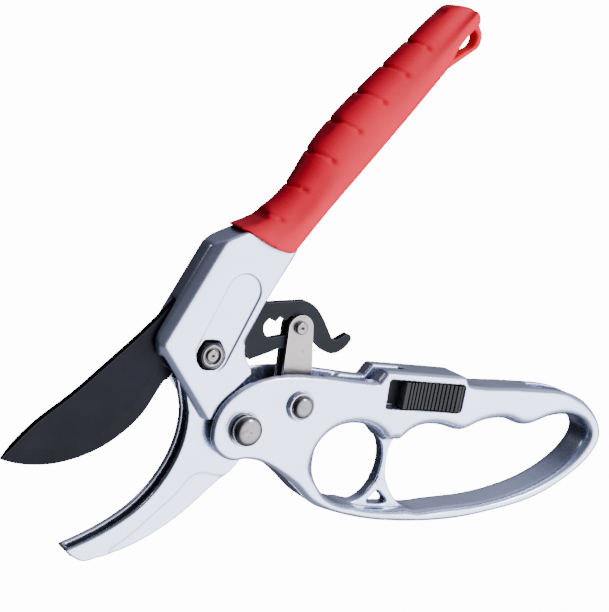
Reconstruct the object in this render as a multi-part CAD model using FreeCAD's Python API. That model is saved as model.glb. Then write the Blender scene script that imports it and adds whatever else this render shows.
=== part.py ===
import FreeCAD
import Part
import math
import os

os.makedirs("parts", exist_ok=True)

# Ratchet pruning shears, millimetres. X runs along the tool to the right, Z up, Y across the thickness.
# Everything is drawn round the main pivot and moved at the end, so that the hang slot is the origin.

PIVOT_A = (9.9, -24.5)        # jaw to loop handle rivet
PIVOT_B = (29.6, -20.3)       # link to loop handle rivet
PIVOT_D = (32.6, 3.4)         # link's top pin in its open notch
GRIP_START = (25.2, 34.6)
GRIP_TILT = 42.7              # degrees above X
SLIDE_START = (77.0, -24.5)
SLIDE_TILT = -12.4

UPPER_HALF = 6.3              # half thickness of the upper casting
TANG_GAP_HALF = 3.9           # half gap between its cheeks
BLADE_HALF = 1.4
PLATE_HALF = 1.3
JAW_HALF = 3.8
JAW_GROOVE_HALF = 1.8
LOOP_FRONT_HALF = 8.1         # loop handle, half thickness at its fork
LOOP_REAR_HALF = 7.2          # and at its far end
STRUT_HALF = 2.4              # strut between finger loop and grip opening
FORK_GAP_HALF = 6.45
LINK_HALF = 2.8
LINK_SHEET = 1.2

BOLT_R = 2.5
BUSH_R = 3.6
RIVET_A_R = 3.0
RIVET_B_R = 2.5
LINK_PIN_R = 1.5
RUN = 0.05                    # radial running clearance
TRAVEL = 5.5                  # slide lock
NOTCH_PITCH = 3.7


def v(p, y):
    return FreeCAD.Vector(p[0], y, p[1])


def edges_of(start, steps, y):
    """Lines, arcs through a middle point and smooth curves, one after another."""
    edges = []
    here = start
    for step in steps:
        if step[0] == "line":
            edges.append(Part.makeLine(v(here, y), v(step[1], y)))
            here = step[1]
        elif step[0] == "arc":
            edges.append(Part.Arc(v(here, y), v(step[1], y), v(step[2], y)).toShape())
            here = step[2]
        else:
            curve = Part.BSplineCurve()
            curve.interpolate([v(here, y)] + [v(p, y) for p in step[1:]])
            edges.append(curve.toShape())
            here = step[-1]
    if math.dist(here, start) > 1e-6:
        edges.append(Part.makeLine(v(here, y), v(start, y)))
    return edges


def slab(start, steps, y0, y1):
    face = Part.Face(Part.Wire(edges_of(start, steps, y0)))
    return face.extrude(FreeCAD.Vector(0, y1 - y0, 0))


def lines(*points):
    return [("line", p) for p in points]


def disc(centre, r, y0, y1):
    return Part.makeCylinder(r, y1 - y0, v(centre, y0), FreeCAD.Vector(0, 1, 0))


def smooth_loop(points, y0, y1):
    curve = Part.BSplineCurve()
    curve.interpolate([v(p, y0) for p in points], PeriodicFlag=True)
    return Part.Face(Part.Wire([curve.toShape()])).extrude(FreeCAD.Vector(0, y1 - y0, 0))


def polar(centre, r, deg):
    return (centre[0] + r * math.cos(math.radians(deg)), centre[1] + r * math.sin(math.radians(deg)))


def tilted(start, deg, s, t):
    c = math.cos(math.radians(deg))
    k = math.sin(math.radians(deg))
    return (start[0] + s * c - t * k, start[1] + s * k + t * c)


def grip_at(s, t):
    return tilted(GRIP_START, GRIP_TILT, s, t)


def slide_at(s, t):
    return tilted(SLIDE_START, SLIDE_TILT, s, t)


def capsule(a, b, r, y0, y1):
    ux = (b[0] - a[0]) / math.dist(a, b)
    uz = (b[1] - a[1]) / math.dist(a, b)
    p1 = (a[0] - uz * r, a[1] + ux * r)
    p2 = (a[0] - ux * r, a[1] - uz * r)
    p3 = (a[0] + uz * r, a[1] - ux * r)
    p4 = (b[0] + uz * r, b[1] - ux * r)
    p5 = (b[0] + ux * r, b[1] + uz * r)
    p6 = (b[0] - uz * r, b[1] + ux * r)
    return slab(p1, [("arc", p2, p3), ("line", p4), ("arc", p5, p6)], y0, y1)


def edge_bevel(shape, a, b, inset, drop, half):
    """Cuts a sloping face along the straight edge a-b, the solid on its right, on both broad sides."""
    n = math.dist(a, b)
    ux = (b[0] - a[0]) / n
    uz = (b[1] - a[1]) / n
    a = (a[0] - ux * 4, a[1] - uz * 4)
    for side in (-1, 1):
        inner = v((a[0] + uz * inset, a[1] - ux * inset), side * half)
        outer = v((a[0] - uz * 2, a[1] + ux * 2), side * (half - drop - 2 * drop / inset))
        top = v((a[0] - uz * 2, a[1] + ux * 2), side * (half + 2))
        lid = v((a[0] + uz * inset, a[1] - ux * inset), side * (half + 2))
        wire = Part.makePolygon([inner, outer, top, lid, inner])
        wedge = Part.Face(wire).extrude(FreeCAD.Vector(ux * (n + 8), 0, uz * (n + 8)))
        shape = shape.cut(wedge)
    return shape


def dome(centre, r, height, y, side):
    """A flat-based rivet head: part of a ball, r wide at y and rising by height."""
    ball = (r * r + height * height) / (2 * height)
    sphere = Part.makeSphere(ball, v(centre, y + side * (height - ball)))
    y0 = min(y, y + side * height)
    return sphere.common(disc(centre, r, y0, y0 + height))


def rivet(centre, r, half, head_r, wall, head_h):
    """Shaft with a head at each end: a short straight wall, then a dome."""
    shape = disc(centre, r, -half, half)
    for side in (-1, 1):
        y0, y1 = sorted((side * half, side * (half + wall)))
        shape = shape.fuse(disc(centre, head_r, y0, y1)).fuse(dome(centre, head_r, head_h,
                side * (half + wall), side))
    return shape.removeSplitter()


def ring(centre, r_in, r_out, y0, y1):
    return disc(centre, r_out, y0, y1).cut(disc(centre, r_in, y0 - 1, y1 + 1))


# ---------------------------------------------------------------- upper handle

CASTING_SHOULDER = (2.2, 33.8)
CASTING_BREAST = (-16.2, 8.4)


def upper_outline(y0, y1):
    return slab(CASTING_SHOULDER, [
        ("line", CASTING_BREAST),
        ("arc", (-17.0, 6.0), (-16.6, 3.4)),
        ("curve", (-14.8, -4.6), (-11.0, -12.0), (-7.6, -16.8), (-3.4, -20.7)),
        ("arc", polar((0, 0), 21.0, -86), polar((0, 0), 21.0, -74)),
        ("curve", (8.0, -15.4), (10.6, -10.8), (13.9, -8.3)),
        ("curve", (13.0, -4.6), (12.0, -1.4), (12.3, 1.4), (13.9, 5.0)),
        ("line", (19.1, 13.8)),
        ("line", (30.2, 27.8)),
        ("line", grip_at(3, -6.0)),
        ("line", grip_at(3, 5.3)),
        ("line", grip_at(-1.2, 5.6)),
        ("line", (13.0, 36.7))], y0, y1)


def upper_handle_casting():
    shape = upper_handle_blank()
    # faint lowered field where the loop handle's fork passes
    field = slab((9.6, 2.4), [
        ("curve", (6.6, -3.4), (3.6, -8.0), (1.4, -13.4), (-0.8, -22.5)),
        ("line", (20, -22)), ("line", (20, 2.4))], UPPER_HALF - 0.35, UPPER_HALF + 1)
    shape = shape.cut(field)
    shape = shape.cut(field.mirror(FreeCAD.Vector(0, 0, 0), FreeCAD.Vector(0, 1, 0)))
    # gap for the jaw's tang, slots for blade and ratchet plate
    gap = disc((0, 0), 10.4, -TANG_GAP_HALF, TANG_GAP_HALF)
    low = slab((-30, -6.0), lines((-14, 2.0), (-4, 8.5), (9, 4.5), (10.4, 0), (16, -6), (16, -30),
            (-30, -30)),
               -TANG_GAP_HALF, TANG_GAP_HALF)
    shape = shape.cut(gap).cut(low)
    slot = slab((-30, 10), [("line", (-9.2, 17.6)), ("arc", (-2.6, 19.9), (4.2, 16.0)),
                            ("line", (6.6, 8.0)), ("line", (8.0, -8.0)), ("line", (-30, -14))],
                            -1.45, 1.45)
    shape = shape.cut(slot)
    shape = shape.cut(plate_root(1.35))
    # capsule field round the nut, hexagon pocket, bolt hole
    for side in (-1, 1):
        y = side * UPPER_HALF
        shape = shape.cut(capsule((0, 0), (11.0, 18.9), 5.0, min(y - side * 0.55, y + side),
                max(y - side * 0.55, y + side)))
    shape = shape.cut(hexagon(4.98, -UPPER_HALF - 1, -UPPER_HALF + 1.6, 171.5))
    shape = shape.cut(disc((0, 0), 5.0, UPPER_HALF - 1.6, UPPER_HALF + 1))
    shape = shape.cut(disc((0, 0), BOLT_R, -9, 9))
    for p in PLATE_PINS:
        shape = shape.cut(disc(p, 1.5, -4.6, 4.6))
    shape = shape.cut(disc(BLADE_PIN, 1.6, -4.6, 4.6))
    return max(shape.Solids, key=lambda s: s.Volume)


PLATE_PINS = ((13.4, 9.4), (18.4, 17.0))
BLADE_PIN = (-1.8, 14.4)


def hexagon(r, y0, y1, turn):
    pts = [polar((0, 0), r, turn + 60 * k) for k in range(6)]
    return slab(pts[0], lines(*pts[1:]), y0, y1)


def plate_root(half):
    return slab((15.4, -4.9), [
        ("line", (10.6, 3.4)), ("line", (10.0, 8.6)), ("line", (16.6, 20.4)), ("line", (21.8, 19.0)),
        ("line", (21.6, 12.4)), ("line", (24.0, 12.0)), ("line", (24.0, -3.2))], -half, half)


def grip_tunnel():
    """Rounded cross-section along the grip, wider at its mouth."""
    wires = []
    for s, top, low, half in ((-22, 15.0, -8.6, 9.6), (-8, 13.4, -8.2, 9.4), (3, 8.6, -7.6, 9.0),
            (24, 9.8, -7.1, 8.8),
                              (52, 10.4, -6.9, 8.6), (74, 8.9, -6.6, 7.8), (99, 6.4, -6.0, 6.6)):
        pts = []
        for t, y in ((low, 0), (low + 0.5, 0.62), (low + 2.4, 0.9), (low + 7.0, 1.0), (top - 7.0, 0.9),
                     (top - 3.0, 0.66), (top - 0.5, 0.25)):
            pts.append((t, -y * half))
        pts = pts + [(t, -y) for t, y in pts[:0:-1]]
        curve = Part.BSplineCurve()
        curve.interpolate([v(grip_at(s, t), y) for t, y in pts], PeriodicFlag=True)
        wires.append(Part.Wire([curve.toShape()]))
    return Part.makeLoft(wires, True, False)


def grip_sleeve():
    ridges = [(0.0, 7.0), (12.6, 7.9), (24.6, 8.8), (36.8, 9.4), (49.0, 9.4), (60.6, 9.0), (72.0, 7.8)]
    steps = [("curve", grip_at(-4.2, 9.3), grip_at(-1.4, 8.0)), ("line", grip_at(*ridges[0]))]
    for a, b in zip(ridges[:-1], ridges[1:]):
        s1 = a[0] + 0.7
        top = (a[1] + b[1]) / 2 + 0.95
        steps.append(("curve", grip_at(s1, a[1] + 0.5), grip_at((a[0] + b[0]) / 2 + 1, top),
                      grip_at(b[0] - 0.8, b[1] + 0.75)))
        steps.append(("line", grip_at(*b)))
    steps.append(("curve", grip_at(72.8, 8.5), grip_at(80.4, 8.6), grip_at(88.2, 7.0)))
    steps.append(("curve", grip_at(92.4, 4.2), grip_at(94.2, 0.2), grip_at(92.8, -3.4)))
    steps.append(("line", grip_at(92.0, -3.6)))
    steps.append(("curve", grip_at(87.0, -3.2), grip_at(78.0, -4.4), grip_at(75.2, -6.6)))
    steps.append(("line", grip_at(73.0, -7.4)))
    steps.append(("curve", grip_at(42.0, -7.6), grip_at(18.0, -8.0), grip_at(-0.6, -8.1)))
    steps.append(("curve", (25.6, 29.0), (19.5, 32.0), (15.0, 35.2), (10.8, 38.0)))
    body = slab((10.8, 38.0), steps, -12, 12)
    body = body.common(grip_tunnel())
    tab = slab(grip_at(92.8, -1.6), [
        ("curve", grip_at(93.6, -4.8), grip_at(92.4, -8.6), grip_at(89.6, -10.6), grip_at(86.2, -10.3)),
        ("line", grip_at(72.0, -6.6)), ("line", grip_at(76.0, -3.0)), ("line", grip_at(86.0, 0.5))],
        -2.6, 2.6)
    hole = slab(grip_at(90.8, -4.6), [
        ("curve", grip_at(90.8, -7.2), grip_at(88.6, -8.8), grip_at(85.2, -8.1)),
        ("line", grip_at(77.0, -5.8)),
        ("curve", grip_at(80.0, -4.1), grip_at(86.6, -3.1), grip_at(90.8, -4.6))], -12, 12)
    body = body.fuse(tab).cut(hole)
    body = body.cut(upper_handle_blank())
    return max(body.Solids, key=lambda s: s.Volume)


def upper_handle_blank():
    """The casting before its slots and holes, with the spine that runs up inside the grip."""
    shape = upper_outline(-UPPER_HALF, UPPER_HALF)
    shape = edge_bevel(shape, CASTING_BREAST, CASTING_SHOULDER, 3.0, 2.8, UPPER_HALF)
    shape = edge_bevel(shape, (-3.4, -20.7), (-16.8, 3.4), 2.4, 2.6, UPPER_HALF)
    shape = edge_bevel(shape, (30.2, 27.8), (13.9, 5.0), 1.5, 1.2, UPPER_HALF)
    spine = slab(grip_at(-1, -4.5), lines(grip_at(70, -3.5), grip_at(70, 4.5), grip_at(-1, 5.5)),
            -4.5, 4.5)
    shape = shape.fuse(spine)
    # narrower where the sleeve covers it
    covered = lines((18.2, 35.2), (22.4, 32.4), (28.4, 30.0), (40.0, 34.0), (40.0, 50.0), (14.4, 44.0))
    for y0, y1 in ((-12, -4.5), (4.5, 12)):
        shape = shape.cut(slab((14.0, 38.2), covered, y0, y1))
    return max(shape.Solids, key=lambda s: s.Volume)


def cutting_blade():
    outline = [
        ("curve", (-61.6, -19.8), (-53.2, -13.4), (-43.6, -7.9), (-33.2, -0.9), (-22.8, 6.3),
        (-9.6, 16.6)),
        ("arc", (-2.8, 19.0), (3.8, 15.6)), ("line", (6.2, 7.8)), ("line", (7.2, -3.0)),
        ("curve", (4.0, -7.4), (-2.0, -8.6), (-9.0, -7.0)),
        ("line", (-13.0, -7.6)),
        ("curve", (-15.8, -11.0), (-20.2, -16.6), (-26.3, -21.4), (-32.8, -24.8), (-41.5, -27.2),
         (-49.1, -27.8), (-55.0, -27.2), (-62.2, -25.1), (-65.5, -23.45))]
    shape = slab((-65.5, -23.45), outline, -BLADE_HALF, BLADE_HALF)
    # ground faces: a long slope along the edge, thin at the edge itself
    pts = [(-66.5, -24.6), (-62.2, -25.6), (-49.1, -28.3), (-41.5, -27.7), (-32.8, -25.3),
            (-26.3, -21.9),
           (-20.2, -17.1), (-15.8, -11.5), (-13.0, -7.9)]
    for a, b in zip(pts[:-1], pts[1:]):
        shape = edge_bevel(shape, b, a, 5.2, 1.22, BLADE_HALF)
    shape = shape.cut(disc((0, 0), BUSH_R, -3, 3))
    shape = shape.cut(disc(BLADE_PIN, 1.6, -3, 3))
    return max(shape.Solids, key=lambda s: s.Volume)


def ratchet_plate():
    shape = slab((22.0, 12.4), [
        ("line", (33.6, 11.5)),
        ("curve", (36.6, 10.8), (39.4, 8.4), (42.0, 4.2)),
        ("line", (44.7, -2.0)), ("curve", (46.0, -2.9), (47.6, -2.6)), ("line", (50.4, -1.5)),
        ("arc", (51.8, -2.5), (51.2, -4.4)),
        ("curve", (48.4, -6.5), (44.9, -7.2), (41.8, -5.9), (38.9, -2.9), (36.9, -0.9)),
        ("line", (35.4, -1.5)), ("line", (24.0, -3.0))], -PLATE_HALF, PLATE_HALF)
    shape = shape.fuse(plate_root(PLATE_HALF)).removeSplitter()
    # window: rounded left end, four notches along its top, roomy right end for the pin
    top = 7.3
    tooth = 6.15
    x0 = 20.9
    steps = [("arc", (20.4, 4.6), (21.6, 6.6)), ("line", (22.4, top))]
    for k in range(1, 4):
        xk = 22.7 + NOTCH_PITCH * k
        steps.append(("curve", (xk - 2.7, 6.9), (xk - 1.9, tooth), (xk - 1.1, 6.6), (xk - 0.2, top)))
    steps.append(("line", (34.4, top)))
    steps.append(("arc", (35.4, 4.6), (34.6, 2.0)))
    steps.append(("line", (33.6, 1.35)))
    steps.append(("line", (23.2, 0.9)))
    steps.append(("arc", (21.9, 1.4), (x0, 2.6)))
    shape = shape.cut(slab((x0, 2.6), steps, -3, 3))
    for p in PLATE_PINS:
        shape = shape.cut(disc(p, 1.5, -3, 3))
    return shape


def plate_pin(p):
    return disc(p, 1.5, -4.6, 4.6)


def blade_pin():
    return disc(BLADE_PIN, 1.6, -4.6, 4.6)


def pivot_bush():
    return ring((0, 0), BOLT_R, BUSH_R, -TANG_GAP_HALF, TANG_GAP_HALF)


def pivot_bolt():
    shape = disc((0, 0), BOLT_R, -UPPER_HALF - 0.5, UPPER_HALF - 1.6)
    head = dome((0, 0), 4.6, 1.5, UPPER_HALF - 0.9, 1).fuse(disc((0, 0), 4.6, UPPER_HALF - 1.6,
            UPPER_HALF - 0.9))
    shape = shape.fuse(head)
    slot = Part.makeBox(10, 1.2, 1.2, FreeCAD.Vector(-5, UPPER_HALF - 0.1, -0.6))
    return shape.cut(slot).cut(Part.makeCone(1.4, 0.4, 1.0, v((0, 0), -UPPER_HALF - 0.5),
            FreeCAD.Vector(0, 1, 0)))


def pivot_nut():
    y0 = -UPPER_HALF - 0.9
    y1 = -UPPER_HALF + 1.6
    shape = hexagon(4.62, y0, y1, 171.5)
    cone = Part.makeCone(3.7, 6.2, y1 - y0, v((0, 0), y0), FreeCAD.Vector(0, 1, 0))
    return shape.common(cone).cut(disc((0, 0), BOLT_R, y0 - 1, y1 + 1))


# ---------------------------------------------------------------- jaw

RIM = ((-6.9, -17.5), (-7.7, -23.3), (-10.6, -31.0), (-15.2, -37.7), (-23.0, -44.9), (-31.6, -49.6),
        (-39.8, -52.5))
JAW_TIP = (-46.6, -54.2)


def jaw_outline(y0, y1):
    return slab(JAW_TIP, [
        ("curve",) + tuple(reversed(RIM)),
        ("curve", (-7.6, -12.0), (-8.6, -5.0)),
        ("arc", (-2.6, 9.3), (8.2, 5.2)),
        ("curve", (9.4, -2.0), (12.0, -10.0), (16.2, -18.6), (17.6, -24.6), (15.6, -31.0),
        (10.7, -36.2)),
        ("curve", (7.2, -39.5), (2.3, -42.6), (-6.7, -48.8), (-16.0, -53.8), (-25.4, -57.3),
        (-32.7, -58.8), (-38.7, -59.0)),
        ("curve", (-41.0, -59.5), (-43.4, -58.9), (-46.0, -56.9), (-48.2, -54.6)),
        ("line", JAW_TIP)], y0, y1)


def strip_outline(lift, depth, y0, y1):
    low = []
    high = []
    pts = [JAW_TIP] + [RIM[k] for k in (6, 5, 4, 3, 2, 1, 0)] + [(-7.0, -12.5)]
    for k, p in enumerate(pts):
        a = pts[max(k - 1, 0)]
        b = pts[min(k + 1, len(pts) - 1)]
        n = math.dist(a, b)
        nx = (b[1] - a[1]) / n
        nz = -(b[0] - a[0]) / n
        high.append((p[0] - nx * lift, p[1] - nz * lift))
        low.append((p[0] + nx * depth, p[1] + nz * depth))
    low.reverse()
    return slab(high[0], [("curve",) + tuple(high[1:]), ("line", low[0]),
            ("curve",) + tuple(low[1:])], y0, y1)


STRIP_PINS = ((-30.6, -52.2), (-12.4, -40.0))


def jaw_casting():
    shape = jaw_outline(-JAW_HALF, JAW_HALF)
    shape = shape.fuse(disc(PIVOT_A, 5.0, -6.35, 6.35))
    # lowered field along the back of the hook
    field = slab((-34.2, -57.0), [
        ("curve", (-24.9, -52.2), (-15.8, -46.0), (-10.6, -42.2), (-6.6, -38.6), (-4.0, -37.8),
        (0.6, -38.9), (6.0, -40.2)),
        ("line", (6.0, -60)), ("line", (-34.2, -66))], JAW_HALF - 0.5, JAW_HALF + 1)
    shape = shape.cut(field)
    shape = shape.cut(field.mirror(FreeCAD.Vector(0, 0, 0), FreeCAD.Vector(0, 1, 0)))
    # groove along the rim, running on into a slot for the blade's root
    shape = shape.cut(strip_outline(3.0, 3.4, -JAW_GROOVE_HALF, JAW_GROOVE_HALF))
    slot = disc((0, 0), 17.6, -JAW_GROOVE_HALF, JAW_GROOVE_HALF)
    shape = shape.cut(slot)
    shape = shape.cut(disc((0, 0), BUSH_R + RUN, -8, 8))
    shape = shape.cut(disc(PIVOT_A, RIVET_A_R + RUN, -9, 9))
    for p in STRIP_PINS:
        shape = shape.cut(disc(p, 1.0, -3.0, 3.0))
    return max(shape.Solids, key=lambda s: s.Volume)


def jaw_groove_strip():
    shape = strip_outline(-1.5, 3.4, -JAW_GROOVE_HALF, JAW_GROOVE_HALF)
    shape = shape.cut(disc((0, 0), 18.0, -5, 5))
    for p in STRIP_PINS:
        shape = shape.cut(disc(p, 1.0, -3.0, 3.0))
    return max(shape.Solids, key=lambda s: s.Volume)


def strip_pin(p):
    return disc(p, 1.0, -3.0, 3.0)


# ---------------------------------------------------------------- loop handle

def loop_outline(y0, y1):
    return slab((-1.1, -25.4), [
        ("arc", (1.6, -17.6), (6.6, -13.2)),
        ("curve", (11.0, -11.1), (16.0, -9.9), (21.0, -9.5), (28.0, -10.1), (36.0, -11.6),
        (46.0, -14.2), (58.8, -17.6)),
        ("line", slide_at(-16.6, 7.0)),
        ("line", slide_at(15.0, 7.0)),
        ("line", slide_at(16.8, 4.2)),
        ("curve", (100.0, -25.6), (113.0, -28.0), (124.3, -30.2), (135.2, -33.0), (144.0, -37.6)),
        ("curve", (148.6, -42.6), (151.2, -47.6), (151.6, -52.0), (148.0, -58.0), (140.6, -63.2),
        (131.6, -67.0)),
        ("curve", (121.2, -69.9), (107.7, -70.9), (92.3, -70.9), (78.0, -69.3), (65.4, -66.8),
        (53.4, -63.4), (42.5, -59.0),
         (34.0, -54.0), (28.5, -47.8), (22.8, -41.8), (19.0, -38.6), (14.4, -36.0), (9.0, -34.8)),
        ("curve", (5.0, -34.3), (1.4, -31.8), (-0.8, -28.2), (-1.1, -25.4))], y0, y1)


FINGER = ((35.0, -44.0), (36.6, -36.8), (41.8, -31.8), (48.4, -30.4), (55.2, -31.8), (60.6, -35.6),
        (63.4, -42.0),
          (62.4, -49.4), (59.2, -54.8), (53.2, -58.2), (45.0, -56.8), (38.4, -51.6))
REAR = ((65.6, -45.4), (68.4, -39.4), (74.4, -36.0), (82.0, -36.2), (87.8, -38.3), (92.4, -40.0),
        (98.4, -38.8),
        (106.0, -38.2), (112.2, -39.6), (116.6, -42.0), (121.2, -42.8), (128.4, -41.5),
        (136.0, -41.8), (142.6, -44.2),
        (146.0, -49.6), (142.0, -56.0), (132.4, -61.9), (117.0, -66.0), (99.4, -67.0),
        (82.0, -65.6), (71.8, -63.7),
        (66.8, -57.4), (65.0, -51.6))


def side_taper(half0, half1, x0, x1):
    """Everything between the two slowly closing broad sides."""
    pts = [(-60, -half0), (x0, -half0), (x1, -half1), (220, -half1), (220, half1), (x1, half1),
            (x0, half0), (-60, half0)]
    wire = Part.makePolygon([FreeCAD.Vector(x, y, -120) for x, y in pts + pts[:1]])
    return Part.Face(wire).extrude(FreeCAD.Vector(0, 0, 200))


def loop_handle_casting():
    shape = loop_outline(-LOOP_FRONT_HALF, LOOP_FRONT_HALF)
    shape = shape.cut(smooth_loop(FINGER, -12, 12))
    shape = shape.cut(smooth_loop(REAR, -12, 12))
    shape = shape.common(side_taper(LOOP_FRONT_HALF, LOOP_REAR_HALF, 40, 150))
    shape = shape.cut(slab((62.0, -56.2), [("line", (65.8, -61.4)),
            ("curve", (61.6, -61.0), (57.2, -59.8)),
                                           ("line", (62.0, -56.2))], -12, 12))
    # the strut between the openings is a thin web that stands back from both broad sides
    for y0, y1 in ((-12, -STRUT_HALF), (STRUT_HALF, 12)):
        shape = shape.cut(slab((54.6, -41.6), [("curve", (60.0, -39.0), (65.0, -38.6), (71.0, -40.6)),
                                               ("line", (82.0, -60.0)), ("line", (80.0, -65.0)),
                                               ("curve", (66.0, -62.8), (57.0, -60.8), (50.6, -58.6)),
                                               ("line", (50.0, -50.0))], y0, y1))
    # ejector mark on the strut
    shape = shape.fuse(disc((62.8, -53.3), 1.6, -STRUT_HALF - 0.15, STRUT_HALF + 0.15))
    # pocket in the top behind the slide lock
    shape = shape.cut(slab((123.0, -28.0), lines((141.0, -28.0), (141.0, -38.6), (137.6, -38.6),
            (127.0, -36.4)), -3.4, 3.4))
    # room for jaw boss, upper casting's cheeks and link
    shape = shape.cut(disc(PIVOT_A, 13.4, -FORK_GAP_HALF, FORK_GAP_HALF))
    shape = shape.cut(slab((-10, -30), lines((-10, 0), (39, 0), (39, -22), (36.4, -26.6), (20, -27),
            (12, -34)),
                           -FORK_GAP_HALF, FORK_GAP_HALF))
    # wedge for the turning link, then the narrow channel that the ratchet plate's hook drops into
    shape = shape.cut(slab((38, 0), lines((60.2, 0), (50.9, -14.6), (38, -22.6)), -3.3, 3.3))
    shape = shape.cut(slab((38, 0), lines((72.2, 0), (72.2, -17), slide_at(-6, 3.4),
            slide_at(-6, -5.4), slide_at(-17.0, -5.4),
                                          (54, -24.0), (38, -20.0)), -1.9, 1.9))
    # a pocket for the slide lock's button in each side, the slot between them and the room for its core
    for y0, y1 in ((-12, -3.2), (3.2, 12)):
        shape = shape.cut(slab(slide_at(-15, -5.2), lines(slide_at(-15, 4.2), slide_at(15, 4.2),
                slide_at(15, -5.2)), y0, y1))
    shape = shape.cut(slab(slide_at(-6.0, -4.6), lines(slide_at(-6.0, 3.6), slide_at(13.0, 3.6),
            slide_at(13.0, -4.6)), -4, 4))
    shape = shape.cut(slab(slide_at(-15, -5.4), lines(slide_at(-15, 6.0), slide_at(15, 6.0),
            slide_at(15, -5.4)), -1.9, 1.9))
    shape = shape.cut(detent_pocket())
    shape = shape.cut(disc(PIVOT_A, RIVET_A_R, -12, 12))
    shape = shape.cut(disc(PIVOT_B, RIVET_B_R, -12, 12))
    return max(shape.Solids, key=lambda s: s.Volume)


def detent_pocket():
    top = slide_at(6.0, -5.1)
    low = slide_at(6.0, -11.4)
    axis = FreeCAD.Vector(low[0] - top[0], 0, low[1] - top[1])
    return Part.makeCylinder(1.3, axis.Length, v(top, 0), axis)


def detent_ball():
    return Part.makeSphere(1.25, v(slide_at(6.0, -6.6), 0))


def detent_spring():
    low = slide_at(6.0, -11.4)
    high = slide_at(6.0, -7.9)
    axis = FreeCAD.Vector(high[0] - low[0], 0, high[1] - low[1])
    helix = Part.makeHelix(0.85, axis.Length - 0.7, 0.85)
    wire_face = Part.Wire([Part.makeCircle(0.22, FreeCAD.Vector(0.85, 0, 0), FreeCAD.Vector(0, 1, 0))])
    coil = Part.Wire(helix).makePipeShell([wire_face], True, True)
    turn = FreeCAD.Rotation(FreeCAD.Vector(0, 0, 1), axis)
    coil.Placement = FreeCAD.Placement(v(low, 0) + axis * (0.3 / axis.Length), turn)
    return coil


def opening_spring():
    y0 = LINK_HALF + 0.75
    helix = Part.makeHelix(1.0, 2.3, 3.75)
    circle = Part.Wire([Part.makeCircle(0.42, FreeCAD.Vector(3.75, 0, 0), FreeCAD.Vector(0, 1, 0))])
    coil = Part.Wire(helix).makePipeShell([circle], True, True)
    turn = FreeCAD.Rotation(FreeCAD.Vector(0, 0, 1), FreeCAD.Vector(0, 1, 0))
    coil.Placement = FreeCAD.Placement(v(PIVOT_B, y0), turn)
    return coil


def slide_lock():
    """Drawn unlocked, towards the rear."""
    back = 14.2
    front = -8.6
    core = slab(slide_at(-7.2, 3.6), lines(
            slide_at(-7.2, 5.7), slide_at(back, 5.7), slide_at(back, -4.9),
            slide_at(0.6, -4.9), slide_at(0.6, 3.6)), -1.75, 1.75)
    bridge = slab(slide_at(0.6, -4.2), lines(slide_at(0.6, 3.2), slide_at(12.4, 3.2),
            slide_at(12.4, -4.2)), -4, 4)
    shape = core.fuse(bridge)
    for y0 in (-8.0, 3.4):
        button = slab(slide_at(front, -4.9), lines(slide_at(front, 3.9), slide_at(back, 3.9),
                slide_at(back, -4.9)), y0, y0 + 4.6)
        shape = shape.fuse(button)
    shape = shape.removeSplitter()
    # ribs across both outer faces, dished in the middle
    for side in (-1, 1):
        dish = Part.makeCylinder(42, 30, FreeCAD.Vector(0, 0, 0), FreeCAD.Vector(0, 0, 1))
        mid = slide_at((back + front) / 2, -15)
        dish.Placement = FreeCAD.Placement(FreeCAD.Vector(mid[0], side * (42 + 6.9), mid[1]),
                                           FreeCAD.Rotation(FreeCAD.Vector(0, 1, 0), -SLIDE_TILT))
        shape = shape.cut(dish)
        for k in range(15):
            s = front + 1.4 + k * 1.44
            y0 = min(side * 6.0, side * 9.0)
            groove = slab(slide_at(s, -5.5), lines(slide_at(s, 5.0), slide_at(s + 0.62, 5.0),
                    slide_at(s + 0.62, -5.5)), y0, y0 + 3.0)
            keep = Part.makeCylinder(42.5, 30, FreeCAD.Vector(0, 0, 0), FreeCAD.Vector(0, 0, 1))
            keep.Placement = FreeCAD.Placement(FreeCAD.Vector(mid[0], side * (42.5 + 6.35), mid[1]),
                                               FreeCAD.Rotation(FreeCAD.Vector(0, 1, 0), -SLIDE_TILT))
            shape = shape.cut(groove.common(keep))
    # dents for the two stops
    for s in (6.0, 6.0 + TRAVEL):
        shape = shape.cut(Part.makeSphere(1.35, v(slide_at(s, -5.95), 0)))
    return max(shape.Solids, key=lambda s: s.Volume)


# ---------------------------------------------------------------- link

def ratchet_link():
    def outline(y0, y1):
        return slab((28.6, 3.0), [
            ("arc", (32.4, 7.2), (37.2, 3.6)),
            ("line", (36.6, -16.6)), ("line", (34.2, -20.6)),
            ("arc", (29.6, -25.0), (25.0, -20.6)), ("line", (26.6, -10.0))], y0, y1)
    shape = outline(-LINK_HALF, LINK_HALF)
    inner = slab((20, -16.5), lines((20, 12), (42, 12), (42, -16.5)), -LINK_HALF + LINK_SHEET,
            LINK_HALF - LINK_SHEET)
    shape = shape.cut(inner)
    shape = shape.cut(slab((20, -40), lines((20, -16), (42, -16), (42, -40)),
            -LINK_HALF + LINK_SHEET, LINK_HALF - LINK_SHEET)
                      .cut(slab((24, -26), lines((24, -9), (26.4, -9), (26.4, -26)), -3, 3)))
    shape = shape.cut(disc(PIVOT_B, RIVET_B_R + RUN, -5, 5))
    shape = shape.cut(disc(PIVOT_D, LINK_PIN_R, -5, 5))
    return max(shape.Solids, key=lambda s: s.Volume)


def link_pin():
    shape = disc(PIVOT_D, LINK_PIN_R, -LINK_HALF, LINK_HALF)
    for side in (-1, 1):
        y = side * LINK_HALF
        shape = shape.fuse(disc(PIVOT_D, 2.1, min(y, y + side * 1.6), max(y, y + side * 1.6)))
    return shape


# ---------------------------------------------------------------- output

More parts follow.
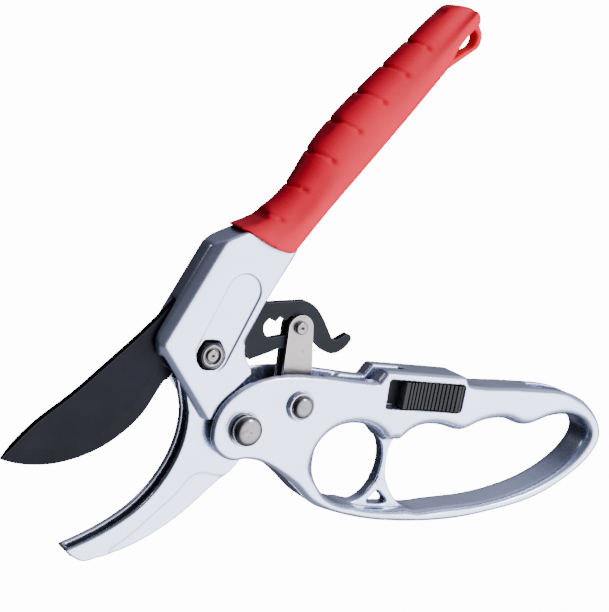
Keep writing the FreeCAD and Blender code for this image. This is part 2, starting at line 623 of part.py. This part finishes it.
def all_nodes():
    half_a = LOOP_FRONT_HALF + 1.2
    half_b = LOOP_FRONT_HALF + 1.5
    nodes = {
        "upper_handle_casting": upper_handle_casting(),
        "grip_sleeve": grip_sleeve(),
        "cutting_blade": cutting_blade(),
        "blade_pin": blade_pin(),
        "ratchet_plate": ratchet_plate(),
        "plate_pin_front": plate_pin(PLATE_PINS[0]),
        "plate_pin_rear": plate_pin(PLATE_PINS[1]),
        "pivot_bolt": pivot_bolt(),
        "pivot_nut": pivot_nut(),
        "pivot_bush": pivot_bush(),
        "jaw_casting": jaw_casting(),
        "jaw_groove_strip": jaw_groove_strip(),
        "strip_pin_front": strip_pin(STRIP_PINS[0]),
        "strip_pin_rear": strip_pin(STRIP_PINS[1]),
        "loop_handle_casting": loop_handle_casting(),
        "front_rivet": rivet(PIVOT_A, RIVET_A_R, half_a, 4.8, 1.6, 2.0),
        "front_washer_near": ring(PIVOT_A, RIVET_A_R, 5.5, -half_a, -LOOP_FRONT_HALF),
        "front_washer_far": ring(PIVOT_A, RIVET_A_R, 5.5, LOOP_FRONT_HALF, half_a),
        "link_rivet": rivet(PIVOT_B, RIVET_B_R, half_b, 3.7, 0.2, 1.7),
        "link_washer_near": ring(PIVOT_B, RIVET_B_R, 5.0, -half_b, -LOOP_FRONT_HALF),
        "link_washer_far": ring(PIVOT_B, RIVET_B_R, 5.0, LOOP_FRONT_HALF, half_b),
        "link_spacer_near": ring(PIVOT_B, RIVET_B_R, 3.1, -FORK_GAP_HALF, -LINK_HALF - 0.1),
        "link_spacer_far": ring(PIVOT_B, RIVET_B_R, 3.1, LINK_HALF + 0.1, FORK_GAP_HALF),
        "opening_spring": opening_spring(),
        "ratchet_link": ratchet_link(),
        "link_pin": link_pin(),
        "slide_lock": slide_lock(),
        "detent_ball": detent_ball(),
        "detent_spring": detent_spring(),
    }
    return nodes


slot_centre = grip_at(84.6, -5.8)
for name, shape in all_nodes().items():
    shape = shape.copy()
    shape.translate(FreeCAD.Vector(-slot_centre[0], 0, -slot_centre[1]))
    shape.exportStep("parts/" + name + ".step")
    box = shape.BoundBox
    print(name, len(shape.Solids), shape.isValid(), round(shape.Volume),
            "x %.1f..%.1f y %.1f..%.1f z %.1f..%.1f" % (
        box.XMin, box.XMax, box.YMin, box.YMax, box.ZMin, box.ZMax))
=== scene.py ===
import bpy
import math
import numpy as np
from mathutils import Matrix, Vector
from mathutils.kdtree import KDTree


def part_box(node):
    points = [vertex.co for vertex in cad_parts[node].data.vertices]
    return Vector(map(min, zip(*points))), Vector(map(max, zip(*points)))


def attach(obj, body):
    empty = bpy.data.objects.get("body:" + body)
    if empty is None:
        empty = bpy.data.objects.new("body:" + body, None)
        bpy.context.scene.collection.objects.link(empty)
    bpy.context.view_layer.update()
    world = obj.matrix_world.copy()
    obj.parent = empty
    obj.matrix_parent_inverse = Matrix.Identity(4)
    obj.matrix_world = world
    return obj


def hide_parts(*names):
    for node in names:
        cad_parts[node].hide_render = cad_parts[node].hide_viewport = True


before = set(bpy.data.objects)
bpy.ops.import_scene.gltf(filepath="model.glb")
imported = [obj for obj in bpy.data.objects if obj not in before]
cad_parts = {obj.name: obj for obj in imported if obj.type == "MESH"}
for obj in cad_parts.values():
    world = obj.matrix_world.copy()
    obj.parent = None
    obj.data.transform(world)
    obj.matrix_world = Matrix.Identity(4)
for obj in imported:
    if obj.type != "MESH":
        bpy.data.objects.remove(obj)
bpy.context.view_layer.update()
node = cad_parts
scene = bpy.context.scene

# ---------------------------------------------------------------------------
# Camera: a little above the tool and to the blade's side of it, looking
# across its nut side.
# ---------------------------------------------------------------------------
turn, rise, reach = math.radians(29.0), math.radians(15.0), 0.525
aim = Vector((-0.05572, 0.0, -0.07836))
back = Vector((-math.sin(turn) * math.cos(rise), -math.cos(turn) * math.cos(rise), math.sin(rise)))
eye = bpy.data.objects.new("camera", bpy.data.cameras.new("camera"))
eye.location = aim + back * reach
eye.rotation_euler = (-back).to_track_quat("-Z", "Y").to_euler()
eye.data.sensor_fit = "HORIZONTAL"
eye.data.sensor_width = 36.0
eye.data.lens = 99.0
eye.data.clip_start = 0.01
scene.collection.objects.link(eye)
scene.camera = eye

# ---------------------------------------------------------------------------
# Studio: a white floor under the tool and one broad bank of light in front,
# with the room behind it and over its left shoulder left dim.
# ---------------------------------------------------------------------------
FLOOR_Z = -0.175
WHITE = 14.0        # glow that the camera sees as plain white


def shown_to_camera(tree, shown, otherwise, output):
    """What the camera looks at directly, and what all other light meets instead."""
    seen = tree.nodes.new("ShaderNodeLightPath")
    either = tree.nodes.new("ShaderNodeMixShader")
    tree.links.new(seen.outputs["Is Camera Ray"], either.inputs[0])
    tree.links.new(otherwise.outputs[0], either.inputs[1])
    tree.links.new(shown.outputs[0], either.inputs[2])
    tree.links.new(either.outputs[0], tree.nodes.new(output).inputs[0])


floor_mesh = bpy.data.meshes.new("floor")
floor_mesh.from_pydata([(x, y, FLOOR_Z) for x, y in ((-4, -4), (4, -4), (4, 4), (-4, 4))],
                       [], [(0, 1, 2, 3)])
floor = bpy.data.objects.new("floor", floor_mesh)
scene.collection.objects.link(floor)
pale = bpy.data.materials.new("white_floor")
pale.use_nodes = True
tree = pale.node_tree
tree.nodes.clear()
glow = tree.nodes.new("ShaderNodeEmission")
glow.inputs["Strength"].default_value = WHITE
clear = tree.nodes.new("ShaderNodeBsdfTransparent")
shown_to_camera(tree, glow, clear, "ShaderNodeOutputMaterial")
floor_mesh.materials.append(pale)

world = bpy.data.worlds.new("studio")
scene.world = world
world.use_nodes = True
tree = world.node_tree
tree.nodes.clear()
place = tree.nodes.new("ShaderNodeTexCoord")


def bank(direction, start, full, strength):
    """Light that comes from one side of the room, as strong as given where it is full."""
    toward = tree.nodes.new("ShaderNodeVectorMath")
    toward.operation = "DOT_PRODUCT"
    toward.inputs[1].default_value = Vector(direction).normalized()
    tree.links.new(place.outputs["Generated"], toward.inputs[0])
    ease = tree.nodes.new("ShaderNodeMapRange")
    ease.interpolation_type = "SMOOTHSTEP"
    ease.inputs["From Min"].default_value = start
    ease.inputs["From Max"].default_value = full
    ease.inputs["To Max"].default_value = strength
    tree.links.new(toward.outputs["Value"], ease.inputs["Value"])
    return ease.outputs["Result"]


def summed(first, second):
    plus = tree.nodes.new("ShaderNodeMath")
    tree.links.new(first, plus.inputs[0])
    tree.links.new(second, plus.inputs[1])
    return plus.outputs[0]


front = bank((0.47, -0.86, -0.22), 0.50, 0.95, 4.2)
below = bank((0.2, -0.3, -1.0), 0.2, 1.0, 0.42)
above = bank((0.75, -0.1, 0.65), 0.2, 1.0, 0.7)
room = bank((0.3, -0.2, 0.2), -1.4, 1.0, 0.15)
dim = tree.nodes.new("ShaderNodeBackground")
dim.inputs["Color"].default_value = (0.80, 0.82, 1.0, 1)
tree.links.new(summed(summed(below, above), room), dim.inputs["Strength"])
strong = tree.nodes.new("ShaderNodeBackground")
strong.inputs["Color"].default_value = (0.95, 0.97, 1.0, 1)
tree.links.new(front, strong.inputs["Strength"])
inside = tree.nodes.new("ShaderNodeAddShader")
tree.links.new(dim.outputs[0], inside.inputs[0])
tree.links.new(strong.outputs[0], inside.inputs[1])
white = tree.nodes.new("ShaderNodeBackground")
white.inputs["Color"].default_value = (1, 1, 1, 1)
white.inputs["Strength"].default_value = WHITE
shown_to_camera(tree, white, inside, "ShaderNodeOutputWorld")

for name, spot, width, power in (("key_lamp", (0.55, -0.8, 0.55), 0.30, 5.0),
                                 ("edge_lamp", (-0.5, 0.55, 0.6), 0.10, 0.25)):
    lamp = bpy.data.lights.new(name, "AREA")
    lamp.size = width
    lamp.energy = power
    holder = bpy.data.objects.new(name, lamp)
    holder.location = aim + Vector(spot)
    holder.rotation_euler = (-Vector(spot)).to_track_quat("-Z", "Y").to_euler()
    scene.collection.objects.link(holder)

# ---------------------------------------------------------------------------
# Upper handle casting: satin-painted die-cast alloy, bevelled along its left
# edges, with a lowered capsule-shaped field round the nut. Its spine runs up
# inside the grip.
# ---------------------------------------------------------------------------
MM = 0.001
CASTING_HALF = 6.3                          # half thickness
NUT_POCKET = 5.2
LOWER_CORNER = (14.3, -9.8)
FIELD = (0.3, 0.2), (11.5, 18.2)            # line down the middle of the lowered field
FIELD_RIM, FIELD_FLOOR, FIELD_DEPTH = 5.9, 5.45, 0.55
low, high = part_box("pivot_bush")
pin_x, pin_z = (low[0] + high[0]) / 2, (low[2] + high[2]) / 2


def skin_of(source, name, face):
    """A new piece with the solid's shape in small even faces, ready to be rounded."""
    piece = bpy.data.objects.new(name, source.data.copy())
    scene.collection.objects.link(piece)
    skin = piece.modifiers.new("skin", "REMESH")
    skin.mode = "VOXEL"
    skin.voxel_size = face
    bpy.context.view_layer.update()
    mesh = bpy.data.meshes.new_from_object(piece.evaluated_get(bpy.context.evaluated_depsgraph_get()))
    piece.modifiers.clear()
    piece.data = mesh
    mesh.materials.clear()
    mesh.shade_smooth()
    return piece


def places(piece):
    """Every point in millimetres from the main pin: x right, y away, z up."""
    flat = np.empty(len(piece.data.vertices) * 3)
    piece.data.vertices.foreach_get("co", flat)
    return (flat.reshape(-1, 3) - (pin_x, 0.0, pin_z)) * 1000


def put(piece, points):
    """Moves every point of the piece to its new place."""
    piece.data.vertices.foreach_set("co", (points * MM + (pin_x, 0.0, pin_z)).ravel())
    piece.data.update()


def rounded(piece, points, passes, share=1.0):
    """Eases every edge of the skin; share says how much where."""
    ends = np.empty(len(piece.data.edges) * 2, dtype=int)
    piece.data.edges.foreach_get("vertices", ends)
    a, b = ends.reshape(-1, 2).T
    n = len(points)
    met = np.bincount(a, minlength=n) + np.bincount(b, minlength=n)
    for _ in range(passes):
        mean = np.stack([np.bincount(a, points[b, k], n) + np.bincount(b, points[a, k], n)
                         for k in range(3)], 1) / met[:, None]
        points = points + (mean - points) * np.reshape(0.5 * share, (-1, 1))
    return points


def step(value, start, end):
    """0 before start, 1 after end, and smooth between."""
    t = np.clip((value - start) / (end - start), 0, 1)
    return t * t * (3 - 2 * t)


def off_point(points, centre):
    """How far the points are from a pin's centre, seen from the side."""
    return np.hypot(points[:, 0] - centre[0], points[:, 2] - centre[1])


def off_line(points, a, b):
    """How far the points are from the line a-b, seen from the side."""
    run = np.array(b, float) - a
    flat = points[:, [0, 2]] - a
    along = np.clip(flat @ run / (run @ run), 0, 1)
    return np.linalg.norm(flat - along[:, None] * run, axis=1)


def finish(name, colour, metal, rough, mottle=0.05, grain=900.0, grain_depth=0.00002,
           speck=0.0, wear_and_highlight=None, shine=0.5, painted_shade_reach=0.0):
    """A painted, plated or moulded surface: mottled colour, uneven polish, fine grain,
    pits (speck), rubbed edges with a painted highlight along them (worn) and painted shade
    in inner corners (nook, its reach)."""
    m = bpy.data.materials.new(name)
    m.use_nodes = True
    t = m.node_tree
    skin = t.nodes["Principled BSDF"]
    where = t.nodes.new("ShaderNodeTexCoord")

    def noise(scale, detail):
        n = t.nodes.new("ShaderNodeTexNoise")
        n.inputs["Scale"].default_value = scale
        n.inputs["Detail"].default_value = detail
        t.links.new(where.outputs["Object"], n.inputs["Vector"])
        return n.outputs["Fac"]

    def ranged(value, from_low, from_high, to_low, to_high):
        r = t.nodes.new("ShaderNodeMapRange")
        for key, number in (("From Min", from_low), ("From Max", from_high),
                            ("To Min", to_low), ("To Max", to_high)):
            r.inputs[key].default_value = number
        t.links.new(value, r.inputs["Value"])
        return r.outputs["Result"]

    def mixed(share, first, second):
        x = t.nodes.new("ShaderNodeMix")
        x.data_type = "RGBA"
        t.links.new(share, x.inputs["Factor"])
        for key, tint in (("A", first), ("B", second)):
            socket = [s for s in x.inputs if s.name == key and s.type == "RGBA"][0]
            if isinstance(tint, tuple):
                socket.default_value = (*tint, 1)
            else:
                t.links.new(tint, socket)
        return [s for s in x.outputs if s.type == "RGBA"][0]

    dark = tuple(c * (1 - mottle) for c in colour)
    light = tuple(min(1.0, c * (1 + mottle)) for c in colour)
    tint = mixed(ranged(noise(60.0, 4.0), 0.3, 0.7, 0.0, 1.0), dark, light)
    polish = ranged(noise(160.0, 3.0), 0.25, 0.75, rough * 0.86, rough * 1.14)
    height = noise(grain, 2.0)
    if speck:
        spots = ranged(noise(330.0, 3.0), 0.58, 0.66, 0.0, speck)
        tint = mixed(spots, tint, tuple(c * 0.35 for c in colour))
    # rubbed edges: a lighter colour along the edges, partly wear and partly a painted highlight
    if wear_and_highlight:
        round_edge = t.nodes.new("ShaderNodeBevel")
        round_edge.samples = 6
        round_edge.inputs["Radius"].default_value = 0.00035
        shape = t.nodes.new("ShaderNodeNewGeometry")
        same = t.nodes.new("ShaderNodeVectorMath")
        same.operation = "DOT_PRODUCT"
        t.links.new(round_edge.outputs["Normal"], same.inputs[0])
        t.links.new(shape.outputs["Normal"], same.inputs[1])
        tint = mixed(ranged(same.outputs["Value"], 0.99, 0.90, 0.0, 0.8), tint, wear_and_highlight)
    # painted shade: the colour darkens where ambient occlusion finds inner corners and channels
    if painted_shade_reach:
        open_sky = t.nodes.new("ShaderNodeAmbientOcclusion")
        open_sky.samples = 8
        open_sky.inputs["Distance"].default_value = painted_shade_reach
        painted_shade = ranged(open_sky.outputs["AO"], 0.30, 0.72, 1.0, 0.0)
        tint = mixed(painted_shade, tint, tuple(c * 0.06 for c in colour))
    t.links.new(tint, skin.inputs["Base Color"])
    t.links.new(polish, skin.inputs["Roughness"])
    skin.inputs["Metallic"].default_value = metal
    skin.inputs["Specular IOR Level"].default_value = shine
    bump = t.nodes.new("ShaderNodeBump")
    bump.inputs["Strength"].default_value = 0.6
    bump.inputs["Distance"].default_value = grain_depth
    t.links.new(height, bump.inputs["Height"])
    t.links.new(bump.outputs["Normal"], skin.inputs["Normal"])
    return m


# the castings' channels and inner corners get painted shade
satin = finish("satin_casting", (0.66, 0.72, 0.93), metal=0.95, rough=0.25, mottle=0.03,
               grain=1600.0, grain_depth=0.000012, painted_shade_reach=0.004)
upper = skin_of(node["upper_handle_casting"], "upper_handle_body", 0.00036)
p = places(upper)
# the nut's pocket and the lower corner stay crisp
soft = step(off_point(p, (0, 0)), 5.6, 7.0) * step(off_point(p, LOWER_CORNER), 2.0, 8.0)
p = rounded(upper, p, 26, np.maximum(soft, 0.1))
side = np.sign(p[:, 1])
in_field = off_line(p, *FIELD)
field_y = CASTING_HALF - FIELD_DEPTH * step(in_field, FIELD_RIM, FIELD_FLOOR)
on_face = (np.abs(p[:, 1]) > 5.5) & (off_point(p, (0, 0)) > NUT_POCKET) & (in_field < FIELD_RIM + 0.5)
p[:, 1] = np.where(on_face, side * field_y, p[:, 1])
put(upper, p)
upper.data.materials.append(satin)
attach(upper, "upper_handle")
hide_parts("upper_handle_casting")

# ---------------------------------------------------------------------------
# Grip: soft red vinyl sleeve pushed over the spine, with seven finger dents
# across its back and a hanging loop at its end.
# ---------------------------------------------------------------------------
GRIP_FOOT, GRIP_TILT = (25.2, 34.6), math.radians(42.7)
DENTS = (0.4, 12.5, 24.4, 36.6, 49.0, 60.7, 72.2)       # along the grip
DENT_DEPTH, MOUTH_DENT_DEPTH, TAIL_DEPTH = 0.55, 0.25, 0.35


def facing(piece):
    """Which way the skin faces at every point."""
    flat = np.empty(len(piece.data.vertices) * 3)
    piece.data.vertex_normals.foreach_get("vector", flat)
    return flat.reshape(-1, 3)


def on_slant(points, foot, tilt):
    """How far every point is along a slanting line from its foot, and how far above it."""
    x, z = points[:, 0] - foot[0], points[:, 2] - foot[1]
    return x * math.cos(tilt) + z * math.sin(tilt), z * math.cos(tilt) - x * math.sin(tilt)


grip = skin_of(node["grip_sleeve"], "grip_cover", 0.00042)
p = rounded(grip, places(grip), 12)
along, up = on_slant(p, GRIP_FOOT, GRIP_TILT)
out = facing(grip)
line = along - 0.28 * np.abs(p[:, 1])       # the dents sweep back down the sides
back_side = step(up, 3.6, 5.6)
outer = step(out[:, 2] * math.cos(GRIP_TILT) - out[:, 0] * math.sin(GRIP_TILT), 0.1, 0.4)
for s in DENTS:
    dent = np.exp(-((line - s) / 0.55) ** 2) * back_side * outer
    tail = np.exp(-((line - s) / 0.8) ** 2 - ((up - 4.6) / 1.1) ** 2)
    depth = MOUTH_DENT_DEPTH if s == DENTS[0] else DENT_DEPTH
    p -= out * (depth * dent + TAIL_DEPTH * tail * (np.abs(p[:, 1]) > 5))[:, None]
put(grip, p)
vinyl = finish("red_vinyl", (0.64, 0.002, 0.024), metal=0.0, rough=0.50, mottle=0.08,
               grain=2600.0, grain_depth=0.00002, shine=0.18)
grip.data.materials.append(vinyl)
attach(grip, "upper_handle")
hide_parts("grip_sleeve")

# ---------------------------------------------------------------------------
# Blade: hard steel under a thin black non-stick coat, ground on both faces
# along its edge, held in the upper casting's slot by the main bolt and a pin.
# ---------------------------------------------------------------------------
def edged(piece, width):
    """Breaks the sharp edges of a carried-over solid."""
    flat = piece.modifiers.new("flat", "DECIMATE")
    flat.decimate_type = "DISSOLVE"
    flat.angle_limit = math.radians(1.0)
    edge = piece.modifiers.new("edge", "BEVEL")
    edge.width = width
    edge.segments = 2
    edge.limit_method = "ANGLE"
    edge.angle_limit = math.radians(32.0)
    edge.harden_normals = True
    piece.modifiers.new("even", "WEIGHTED_NORMAL").keep_sharp = True


def dressed(name, material, width=0.0):
    """Gives a carried-over solid its finish, and broken edges of that width."""
    piece = node[name]
    piece.data.materials.clear()
    piece.data.materials.append(material)
    if width:
        edged(piece, width)


coated = finish("black_coated_steel", (0.0035, 0.0040, 0.009), metal=0.0, rough=0.40, mottle=0.3,
                grain=1400.0, grain_depth=0.00001, speck=0.25, wear_and_highlight=(0.05, 0.055, 0.07), shine=0.09)
dressed("cutting_blade", coated, 0.00012)

# ---------------------------------------------------------------------------
# Ratchet plate: black-coated steel stamping with a toothed window and a hook,
# its root pinned into the upper casting.
# ---------------------------------------------------------------------------
stamped = finish("black_stamped_steel", (0.008, 0.009, 0.014), metal=0.0, rough=0.42, mottle=0.25,
                 grain=1100.0, grain_depth=0.00002, speck=0.2, wear_and_highlight=(0.09, 0.095, 0.12), shine=0.11)
dressed("ratchet_plate", stamped, 0.00012)

# ---------------------------------------------------------------------------
# Pins of blade and plate: plain steel dowels, pressed in and hidden.
# ---------------------------------------------------------------------------
dowel = finish("plain_steel", (0.50, 0.50, 0.51), metal=1.0, rough=0.30, mottle=0.08,
               grain=1500.0, grain_depth=0.00001, speck=0.2)
for name in ("blade_pin", "plate_pin_front", "plate_pin_rear"):
    dressed(name, dowel, 0.00015)

# ---------------------------------------------------------------------------
# Main bolt, nut and bush: bright steel bolt through a brass-coloured bush, its
# domed head on the far side. The dark nut sits in a six-sided pocket, with a
# bright chamfer on its face, and the bolt's rounded end shows in it.
# ---------------------------------------------------------------------------
bright = finish("polished_steel", (0.21, 0.195, 0.20), metal=1.0, rough=0.10, mottle=0.14,
                grain=1300.0, grain_depth=0.00001, speck=0.4, painted_shade_reach=0.002)
dark_steel = finish("dark_steel", (0.045, 0.045, 0.05), metal=0.9, rough=0.28, mottle=0.2,
                    grain=1200.0, grain_depth=0.00002, speck=0.3)
dressed("pivot_bolt", bright, 0.00012)
dressed("pivot_nut", dark_steel, 0.00018)


def turned(name, centre, profile):
    """Turns a closed outline of (radius, place across the tool) round a pin's line."""
    count = 64
    points, faces = [], []
    for k in range(count):
        angle = 2 * math.pi * k / count
        for r, y in profile:
            points.append((pin_x + (centre[0] + r * math.cos(angle)) * MM, y * MM,
                           pin_z + (centre[1] + r * math.sin(angle)) * MM))
    m = len(profile)
    for k in range(count):
        for j in range(m):
            a, b = k * m + j, k * m + (j + 1) % m
            c, d = (k + 1) % count * m + (j + 1) % m, (k + 1) % count * m + j
            faces.append((a, b, c, d))
    mesh = bpy.data.meshes.new(name)
    mesh.from_pydata(points, [], faces)
    mesh.validate()
    mesh.shade_smooth()
    piece = bpy.data.objects.new(name, mesh)
    scene.collection.objects.link(piece)
    return piece


nut_face = turned("nut_face_ring", (0, 0), [(2.45, -7.15), (2.75, -7.42), (3.15, -7.45),
                                            (3.45, -7.28), (3.55, -7.05), (2.45, -7.0)])
bolt_end = turned("bolt_end", (0, 0), [(0.02, -6.7), (2.0, -6.7), (2.0, -7.2),
                                       (1.75, -7.42), (1.2, -7.5), (0.02, -7.46)])
for piece in (nut_face, bolt_end):
    piece.data.materials.append(bright)
    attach(piece, "upper_handle")
brass = finish("bush_brass", (0.52, 0.36, 0.14), metal=1.0, rough=0.30, mottle=0.08)
dressed("pivot_bush", brass, 0.0001)

# ---------------------------------------------------------------------------
# Jaw: the curved anvil hook, die-cast and painted like the handles, with a
# groove along its rim that takes the blade.
# ---------------------------------------------------------------------------
jaw = skin_of(node["jaw_casting"], "jaw_hook", 0.00034)
put(jaw, rounded(jaw, places(jaw), 14))
jaw.data.materials.append(satin)
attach(jaw, "jaw")
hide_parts("jaw_casting")

# ---------------------------------------------------------------------------
# Strip in the jaw's groove: black strip that backs the cut, held by two pins.
# ---------------------------------------------------------------------------
lining = finish("groove_lining", (0.012, 0.012, 0.016), metal=0.0, rough=0.5, mottle=0.3,
                grain=900.0, grain_depth=0.00003, speck=0.3, shine=0.25)
dressed("jaw_groove_strip", lining, 0.0001)
for name in ("strip_pin_front", "strip_pin_rear"):
    dressed(name, dowel, 0.0001)

# ---------------------------------------------------------------------------
# Loop handle: one die casting with a finger hole and a long finger opening
# between thick soft-edged bars, a thin web between them, and the slide
# lock's housing on top.
# ---------------------------------------------------------------------------
SLIDE_START, SLIDE_TILT = (77.0, -24.5), math.radians(-12.4)
FRONT_RIVET, LINK_RIVET = (9.9, -24.5), (29.6, -20.3)
LOOP_HALF, LOOP_TAPER = 8.1, 0.9            # half thickness at the fork, its loss by the far end
FORK_GAP_HALF = 6.5

loop = skin_of(node["loop_handle_casting"], "loop_handle_body", 0.00044)
p = rounded(loop, places(loop), 3)
out = facing(loop)
half = LOOP_HALF - LOOP_TAPER * np.clip((p[:, 0] - 40) / 110, 0, 1)
s, t = on_slant(p, SLIDE_START, SLIDE_TILT)
in_pocket = (np.abs(s) < 16.2) & (t < 5.0) & (t > -6.4)
in_rivet = (off_point(p, FRONT_RIVET) < 5.5) | (off_point(p, LINK_RIVET) < 5.0)
on_side = (np.abs(p[:, 1]) > 0.80 * half) & (np.abs(p[:, 1]) < 0.92 * half)
rim = on_side & (np.abs(out[:, 1]) < 0.35) & ~in_pocket & ~in_rivet

# how far in from each rim the broad sides start to curve over: most on the
# bars, less along the top, the lower bow, the far end and the fork
edge = p[rim]
facing_up = out[rim][:, 2]
reach_in = np.where(edge[:, 2] < -50, 2.6, np.where(facing_up > 0.25, 1.4, 4.6))
reach_in = np.where(edge[:, 0] > 138, 3.0, reach_in)
reach_in = 1.3 + (reach_in - 1.3) * step(edge[:, 0], 20.0, 36.0)
near = KDTree(len(edge))
for k, q in enumerate(edge):
    near.insert((q[0], 0.0, q[2]), k)
near.balance()
even = np.array([np.mean([reach_in[hit[1]] for hit in near.find_range((q[0], 0.0, q[2]), 3.5)])
                 for q in edge])
found = [near.find((q[0], 0.0, q[2])) for q in p]
inward = np.array([hit[2] for hit in found])
reach_in = even[[hit[1] for hit in found]]
quarter_round = 1 - np.sqrt(1 - (1 - np.clip(inward / reach_in, 0, 1)) ** 2)
drop = 0.95 * np.minimum(reach_in, 4.2) * quarter_round

# the fork's inner walls and the thin web keep their places
away = np.abs(p[:, 1])
in_fork = 1 - step(p[:, 0], 34.0, 40.0)
thick = in_fork * step(away, FORK_GAP_HALF, 8.0) + (1 - in_fork) * step(away, 2.3, 3.0)
p[:, 1] *= 1 - thick * drop / half
housing = step(np.maximum(np.abs(s) - 17.0, np.maximum(t - 9.0, -6.2 - t)), 0.0, 3.0)
p = rounded(loop, p, 7, np.maximum(housing, 0.15))
put(loop, p)
loop.data.materials.append(satin)
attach(loop, "loop_handle")
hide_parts("loop_handle_casting")

# ---------------------------------------------------------------------------
# The two big rivets: polished domed heads on flat washers, one through the
# jaw, the other through the link and its spacers.
# ---------------------------------------------------------------------------
def domed(shaft, head, wall, lift, half):
    """Outline of a rivet with a head at both ends: a straight wall with eased rims, then a dome."""
    top = half + wall
    cap = [(0.02, top + lift)]
    for k in range(1, 13):
        a = math.radians(90 - k * 7.0)
        cap.append((head * math.cos(a), top + lift * math.sin(a)))
    cap += [(head, top - 0.1), (head, half + 0.1), (head - 0.1, half), (shaft, half)]
    return cap + [(r, -y) for r, y in reversed(cap)]


for name, centre, shaft, head, wall, lift, half in (
        ("front_rivet", FRONT_RIVET, 3.0, 4.8, 1.6, 2.0, 9.3),
        ("link_rivet", LINK_RIVET, 2.5, 3.7, 0.2, 1.7, 9.6)):
    stud = turned(name + "_turned", centre, domed(shaft, head, wall, lift, half))
    stud.data.materials.append(bright)
    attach(stud, "loop_handle")
    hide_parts(name)
plated = finish("plated_washer", (0.55, 0.57, 0.64), metal=1.0, rough=0.16, mottle=0.06,
                grain=1500.0, grain_depth=0.00001, painted_shade_reach=0.002)
for name, centre, hole, rim, top, half, lip in (
        ("front_washer", FRONT_RIVET, 3.0, 5.5, 5.2, 9.3, 0.0),
        ("link_washer", LINK_RIVET, 2.5, 5.0, 4.35, 9.6, 0.16)):
    for place, way in (("near", -1), ("far", 1)):
        disc = [(hole, LOOP_HALF), (rim, LOOP_HALF), (rim, 8.5), (top + 0.1, half - 0.1),
                (top, half + lip), (top - 0.3, half + lip),
                (top - 0.5, half - 0.02), (hole, half - 0.02)]
        washer = turned(name + "_" + place + "_turned", centre, [(r, way * y) for r, y in disc])
        washer.data.materials.append(plated)
        washer.data.set_sharp_from_angle(angle=math.radians(40))
        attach(washer, "loop_handle")
        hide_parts(name + "_" + place)
for name in ("link_spacer_near", "link_spacer_far"):
    dressed(name, dowel, 0.00015)

# ---------------------------------------------------------------------------
# Ejector marks: small round pads left by the mould on both faces of the web.
# ---------------------------------------------------------------------------
MARK_CENTRE, MARK_LIP = (62.8, -53.2), 0.28
for name, y in (("ejector_mark_near", -2.35), ("ejector_mark_far", 2.35)):
    lip = math.copysign(MARK_LIP, y)
    mark = turned(name, MARK_CENTRE, [(0.02, y), (0.02, y + 0.6 * lip), (1.15, y + 0.6 * lip),
                                      (1.35, y + lip), (1.6, y + lip), (1.75, y)])
    mark.data.materials.append(satin)
    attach(mark, "loop_handle")

# ---------------------------------------------------------------------------
# Painted shade in the slide lock's pockets: thin black sheets behind the buttons that stand for the
# shadow in there.
# ---------------------------------------------------------------------------
SHADOW_SHEET_HALF = 0.06         # half thickness of the sheet
pocket_shadow = finish("painted_pocket_shadow", (0.006, 0.006, 0.008), metal=0.0, rough=0.55, mottle=0.3,
              grain=1200.0, grain_depth=0.00002, shine=0.2)
corners = []
for s, t in ((-12.2, -4.2), (-11.4, -5.0), (14.9, -5.0), (14.9, 4.0), (-11.0, 4.0), (-12.2, 2.8)):
    corners.append((SLIDE_START[0] + s * math.cos(SLIDE_TILT) - t * math.sin(SLIDE_TILT),
                    SLIDE_START[1] + s * math.sin(SLIDE_TILT) + t * math.cos(SLIDE_TILT)))
for name, y in (("lock_shadow_sheet_near", -3.29), ("lock_shadow_sheet_far", 3.29)):
    points = [(pin_x + x * MM, (y + d) * MM, pin_z + z * MM)
              for d in (-SHADOW_SHEET_HALF, SHADOW_SHEET_HALF) for x, z in corners]
    sides = [(k, (k + 1) % 6, (k + 1) % 6 + 6, k + 6) for k in range(6)]
    sheet = bpy.data.meshes.new(name)
    sheet.from_pydata(points, [], [tuple(range(5, -1, -1)), tuple(range(6, 12))] + sides)
    shadow_sheet = bpy.data.objects.new(name, sheet)
    scene.collection.objects.link(shadow_sheet)
    sheet.materials.append(pocket_shadow)
    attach(shadow_sheet, "loop_handle")

# ---------------------------------------------------------------------------
# Springs and ball: the wound spring that opens the handles, and the small
# spring and ball that hold the slide lock at its stops.
# ---------------------------------------------------------------------------
wire = finish("spring_steel", (0.42, 0.42, 0.43), metal=1.0, rough=0.26, mottle=0.10,
              grain=1800.0, grain_depth=0.00001)
for name in ("opening_spring", "detent_spring", "detent_ball"):
    dressed(name, wire)
    node[name].data.shade_smooth()

# ---------------------------------------------------------------------------
# Slide lock: moulded black plastic, ribbed and dished for the thumb on both
# sides, in the housing on top of the loop handle.
# ---------------------------------------------------------------------------
moulded = finish("black_plastic", (0.008, 0.008, 0.010), metal=0.0, rough=0.45, mottle=0.25,
                 grain=1500.0, grain_depth=0.00003, wear_and_highlight=(0.035, 0.035, 0.04), shine=0.25, painted_shade_reach=0.001)
dressed("slide_lock", moulded, 0.0001)

# ---------------------------------------------------------------------------
# Link: nickel-plated sheet folded round the ratchet plate, pitted by the
# plating, with a headed pin that drops into the plate's notches.
# ---------------------------------------------------------------------------
# painted shade darkens the link where it meets the handle, and its edges carry a painted highlight
nickel = finish("nickel_sheet", (0.30, 0.275, 0.275), metal=0.85, rough=0.32, mottle=0.10,
                grain=420.0, grain_depth=0.00018, speck=0.45, wear_and_highlight=(0.75, 0.74, 0.74), painted_shade_reach=0.006)
dressed("ratchet_link", nickel, 0.00025)
LINK_TOP = (32.6, 3.4)
half_pin = [(0.02, 4.4), (1.5, 4.38), (1.9, 4.25), (2.1, 4.0), (2.1, 2.95), (1.95, 2.82), (1.5, 2.8)]
pin = turned("link_pin_turned", LINK_TOP, half_pin + [(r, -y) for r, y in reversed(half_pin)])
pin.data.materials.append(bright)
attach(pin, "link")
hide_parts("link_pin")
